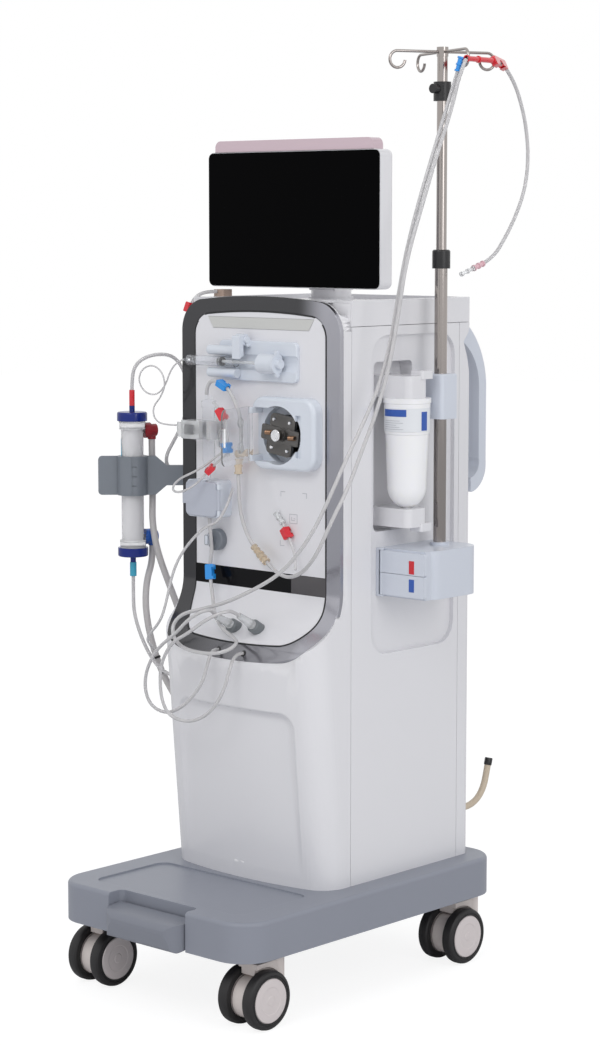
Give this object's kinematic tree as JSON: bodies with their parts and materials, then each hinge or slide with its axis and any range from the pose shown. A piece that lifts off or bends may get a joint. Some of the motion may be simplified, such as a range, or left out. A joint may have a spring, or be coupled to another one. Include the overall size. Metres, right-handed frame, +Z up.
{
  "type": "dialysis machine",
  "caption": "Haemodialysis machine on a castered trolley: swivel monitor, syringe and roller pumps, dialyser on a swing arm, cartridge holder and telescopic infusion pole with blood lines.",
  "frame": {"origin": "on the floor under the middle of the rigid machine", "axes": "+X to the right of someone facing the front, +Y to the back, +Z up"},
  "size_m": [0.662, 0.7598, 1.614],
  "materials": {
    "base": "satin slate blue-grey moulding",
    "caster_grey": "warm grey moulding",
    "wheel": "black tyre with warm grey hub",
    "white": "gloss off-white",
    "panel": "gloss off-white",
    "silver": "silver metallic paint",
    "inlay": "gloss black band with a translucent light strip",
    "pump_grey": "light blue-grey gloss",
    "arm_grey": "mid grey moulding",
    "blue_grey": "light blue-grey",
    "black_glass": "black glass",
    "frame_steel": "grey paint",
    "module": "dark grey",
    "clear": "clear plastic",
    "rotor": "gunmetal",
    "dialyser": "clear case with cobalt blue caps",
    "cartridge": "translucent white",
    "steel": "polished stainless steel with black clamps",
    "tube": "soft clear tube",
    "hose": "grey silicone",
    "beige_hose": "beige hose",
    "fitting": "coloured clamps and clear connectors"
  },
  "bodies": {
    "machine": {"trolley_base": "base", "front_shell": "white", "side_panel_right": "white", "side_panel_left": "white", "rear_cover": "white", "top_cover": "white", "front_panel": "panel", "front_frame": "silver", "front_inlays": "inlay", "rear_handles": "blue_grey", "pole_mounts": "blue_grey", "chassis": "frame_steel", "inner_modules": "module", "syringe_dock": "pump_grey", "blood_pump_housing": "pump_grey", "detector_box": "pump_grey", "syringe_barrel": "clear", "line_clip": "clear", "venous_chamber": "clear", "cartridge": "cartridge", "pole_lower": "steel", "line_fittings": "fitting", "venous_line": "tube", "arterial_line": "tube", "dialyser_top_line": "tube", "heparin_line": "tube", "dialysate_hose_supply": "hose", "dialysate_hose_return": "hose", "dialyser_bottom_line": "tube", "rinse_line_left": "tube", "rinse_line_right": "tube", "chamber_arch_line": "tube", "detector_line": "tube", "sample_line": "tube", "drain_hose": "beige_hose"},
    "caster_front_left": {"caster_fork_front_left": "caster_grey"},
    "wheels_front_left": {"caster_wheels_front_left": "wheel"},
    "caster_front_right": {"caster_fork_front_right": "caster_grey"},
    "wheels_front_right": {"caster_wheels_front_right": "wheel"},
    "caster_rear_left": {"caster_fork_rear_left": "caster_grey"},
    "wheels_rear_left": {"caster_wheels_rear_left": "wheel"},
    "caster_rear_right": {"caster_fork_rear_right": "caster_grey"},
    "wheels_rear_right": {"caster_wheels_rear_right": "wheel"},
    "pedal": {"lock_pedal": "base"},
    "neck": {"monitor_neck": "white"},
    "monitor": {"monitor_housing": "white", "monitor_glass": "black_glass"},
    "lever": {"syringe_lever": "white"},
    "plunger": {"syringe_carriage": "pump_grey"},
    "rotor": {"pump_rotor": "rotor"},
    "door": {"pump_door": "clear"},
    "lid": {"detector_lid": "pump_grey"},
    "arm": {"holder_arm": "arm_grey", "dialyser": "dialyser"},
    "jaw": {"holder_jaw": "arm_grey"},
    "cartridge_arm": {"cartridge_arm_upper": "white"},
    "pole_top": {"pole_upper": "steel", "access_line": "tube"},
    "upper_flap": {"flap_upper": "blue_grey"},
    "lower_flap": {"flap_lower": "blue_grey"}
  },
  "joints": [
    {"name": "swivel_front_left", "type": "hinge", "parent": "machine", "child": "caster_front_left", "pos_m": [-0.17532, -0.21524, 0.122], "axis": [0, 0, 1], "continuous": true},
    {"name": "roll_front_left", "type": "hinge", "parent": "caster_front_left", "child": "wheels_front_left", "pos_m": [-0.17532, -0.25524, 0.05], "axis": [1, 0, 0], "continuous": true},
    {"name": "swivel_front_right", "type": "hinge", "parent": "machine", "child": "caster_front_right", "pos_m": [0.18868, -0.21524, 0.122], "axis": [0, 0, 1], "continuous": true},
    {"name": "roll_front_right", "type": "hinge", "parent": "caster_front_right", "child": "wheels_front_right", "pos_m": [0.18868, -0.25524, 0.05], "axis": [1, 0, 0], "continuous": true},
    {"name": "swivel_rear_left", "type": "hinge", "parent": "machine", "child": "caster_rear_left", "pos_m": [-0.17532, 0.30076, 0.122], "axis": [0, 0, 1], "continuous": true},
    {"name": "roll_rear_left", "type": "hinge", "parent": "caster_rear_left", "child": "wheels_rear_left", "pos_m": [-0.17532, 0.26076, 0.05], "axis": [1, 0, 0], "continuous": true},
    {"name": "swivel_rear_right", "type": "hinge", "parent": "machine", "child": "caster_rear_right", "pos_m": [0.18868, 0.30076, 0.122], "axis": [0, 0, 1], "continuous": true},
    {"name": "roll_rear_right", "type": "hinge", "parent": "caster_rear_right", "child": "wheels_rear_right", "pos_m": [0.18868, 0.26076, 0.05], "axis": [1, 0, 0], "continuous": true},
    {"name": "pedal_tilt", "type": "hinge", "parent": "machine", "child": "pedal", "pos_m": [0.00668, -0.30924, 0.148], "axis": [1, 0, 0], "range_deg": [-8, 8]},
    {"name": "monitor_swivel", "type": "hinge", "parent": "machine", "child": "neck", "pos_m": [0.00668, 0.13776, 1.19], "axis": [0, 0, 1], "range_deg": [-60, 20]},
    {"name": "monitor_tilt", "type": "hinge", "parent": "neck", "child": "monitor", "pos_m": [0.00668, 0.09076, 1.325], "axis": [1, 0, 0], "range_deg": [-20, 3]},
    {"name": "syringe_lever_lift", "type": "hinge", "parent": "machine", "child": "lever", "pos_m": [-0.01932, -0.06324, 1.121], "axis": [1, 0, 0], "range_deg": [-85, 0]},
    {"name": "syringe_travel", "type": "slide", "parent": "machine", "child": "plunger", "axis": [1, 0, 0], "range_m": [-0.034, 0.02]},
    {"name": "pump_turn", "type": "hinge", "parent": "machine", "child": "rotor", "pos_m": [0.06768, -0.05724, 0.961], "axis": [0, 1, 0], "continuous": true},
    {"name": "pump_door_swing", "type": "hinge", "parent": "machine", "child": "door", "pos_m": [0.01168, -0.07524, 0.961], "axis": [0, 0, 1], "range_deg": [-38, 72]},
    {"name": "detector_lid_swing", "type": "hinge", "parent": "machine", "child": "lid", "pos_m": [-0.05632, -0.08354, 0.842], "axis": [0, 0, 1], "range_deg": [0, 110], "deforming": ["sample_line", "detector_line"]},
    {"name": "holder_swing", "type": "hinge", "parent": "machine", "child": "arm", "pos_m": [-0.19832, 0.01676, 0.87], "axis": [0, 0, 1], "range_deg": [-90, 25], "deforming": ["dialyser_top_line", "dialysate_hose_supply", "dialysate_hose_return", "dialyser_bottom_line"]},
    {"name": "jaw_open", "type": "hinge", "parent": "arm", "child": "jaw", "pos_m": [-0.30662, -0.04769, 0.87], "axis": [0, 0, 1], "range_deg": [-60, 0]},
    {"name": "cartridge_arm_lift", "type": "slide", "parent": "machine", "child": "cartridge_arm", "axis": [0, 0, 1], "range_m": [0, 0.015]},
    {"name": "pole_slide", "type": "slide", "parent": "machine", "child": "pole_top", "axis": [0, 0, 1], "range_m": [-0.11, 0.12], "deforming": ["venous_line", "arterial_line"]},
    {"name": "upper_flap_swing", "type": "hinge", "parent": "machine", "child": "upper_flap", "pos_m": [0.19568, 0.05796, 0.745], "axis": [0, 0, 1], "range_deg": [-80, 0]},
    {"name": "lower_flap_swing", "type": "hinge", "parent": "machine", "child": "lower_flap", "pos_m": [0.19568, 0.05796, 0.706], "axis": [0, 0, 1], "range_deg": [-80, 0]}
  ]
}
